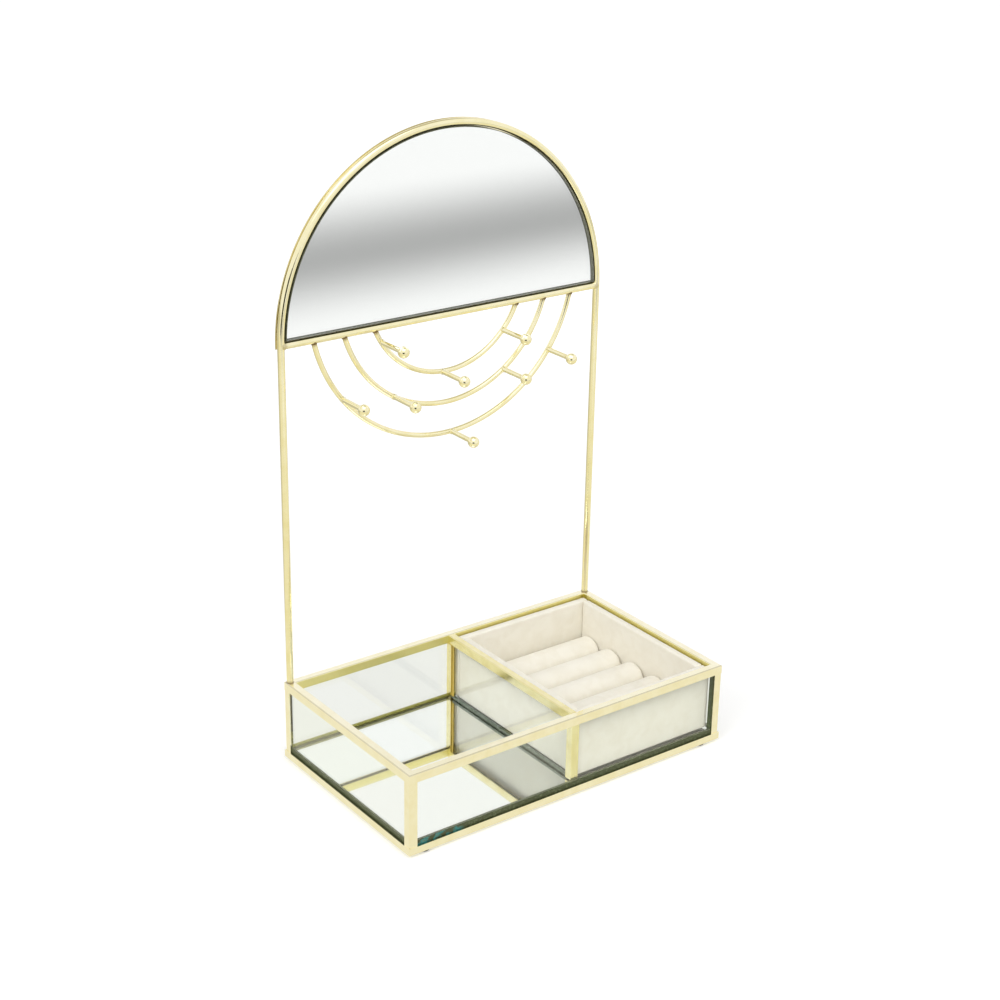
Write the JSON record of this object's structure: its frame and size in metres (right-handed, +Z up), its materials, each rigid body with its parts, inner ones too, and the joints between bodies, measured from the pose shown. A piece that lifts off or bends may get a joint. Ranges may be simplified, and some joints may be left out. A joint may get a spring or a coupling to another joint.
{
  "type": "jewelry holder",
  "caption": "Glass jewelry tray with gold edges, mirrored floor, divider and lift-out velvet ring insert, under a wire arch with a half-round mirror and hanging arcs of ball hooks.",
  "frame": {"origin": "on the table under the middle of the base frame", "axes": "+Z up, +X to the right seen from the front, +Y to the back where the arch stands"},
  "size_m": [0.22, 0.128, 0.358],
  "materials": {
    "gold_strip": "polished pale gold plated strip",
    "gold_rod": "polished pale gold plated wire",
    "clear_glass": "clear float glass",
    "mirror_glass": "silvered float glass",
    "velvet_card": "off-white short-pile velvet on card",
    "velvet_foam": "off-white short-pile velvet on foam",
    "hardboard": "pressed hardboard",
    "bumper_rubber": "soft matt bumper",
    "foam_tape": "white foam tape"
  },
  "bodies": {
    "stand": {"arch_mirror": "mirror_glass", "arch_rod": "gold_rod", "base_board": "hardboard", "base_rail_back": "gold_strip", "base_rail_front": "gold_strip", "base_rail_left": "gold_strip", "base_rail_right": "gold_strip", "bumper_feet": "bumper_rubber", "corner_post_back_left": "gold_strip", "corner_post_back_right": "gold_strip", "corner_post_front_left": "gold_strip", "corner_post_front_right": "gold_strip", "crossbar": "gold_rod", "divider_back_channel": "gold_strip", "divider_front_channel": "gold_strip", "divider_glass": "clear_glass", "divider_top_channel": "gold_strip", "floor_mirror": "mirror_glass", "hanger_arc_inner": "gold_rod", "hanger_arc_middle": "gold_rod", "hanger_arc_outer": "gold_rod", "hook_ball_inner_1": "gold_rod", "hook_ball_inner_2": "gold_rod", "hook_ball_inner_3": "gold_rod", "hook_ball_middle_1": "gold_rod", "hook_ball_middle_2": "gold_rod", "hook_ball_outer_1": "gold_rod", "hook_ball_outer_2": "gold_rod", "hook_ball_outer_3": "gold_rod", "hook_stem_inner_1": "gold_rod", "hook_stem_inner_2": "gold_rod", "hook_stem_inner_3": "gold_rod", "hook_stem_middle_1": "gold_rod", "hook_stem_middle_2": "gold_rod", "hook_stem_outer_1": "gold_rod", "hook_stem_outer_2": "gold_rod", "hook_stem_outer_3": "gold_rod", "mirror_back_plate": "gold_strip", "mirror_tape": "foam_tape", "top_rail_back": "gold_strip", "top_rail_front": "gold_strip", "top_rail_left": "gold_strip", "top_rail_right": "gold_strip", "wall_glass_back": "clear_glass", "wall_glass_front": "clear_glass", "wall_glass_left": "clear_glass", "wall_glass_right": "clear_glass"},
    "ring_insert": {"insert_base": "velvet_card", "insert_wall_back": "velvet_card", "insert_wall_front": "velvet_card", "insert_wall_left": "velvet_card", "insert_wall_right": "velvet_card", "ring_roll_1": "velvet_foam", "ring_roll_2": "velvet_foam", "ring_roll_3": "velvet_foam", "ring_roll_4": "velvet_foam", "ring_roll_5": "velvet_foam"}
  },
  "joints": [
    {"name": "insert_lift", "type": "slide", "parent": "stand", "child": "ring_insert", "axis": [0, 0, 1], "range_m": [0, 0.06]}
  ]
}
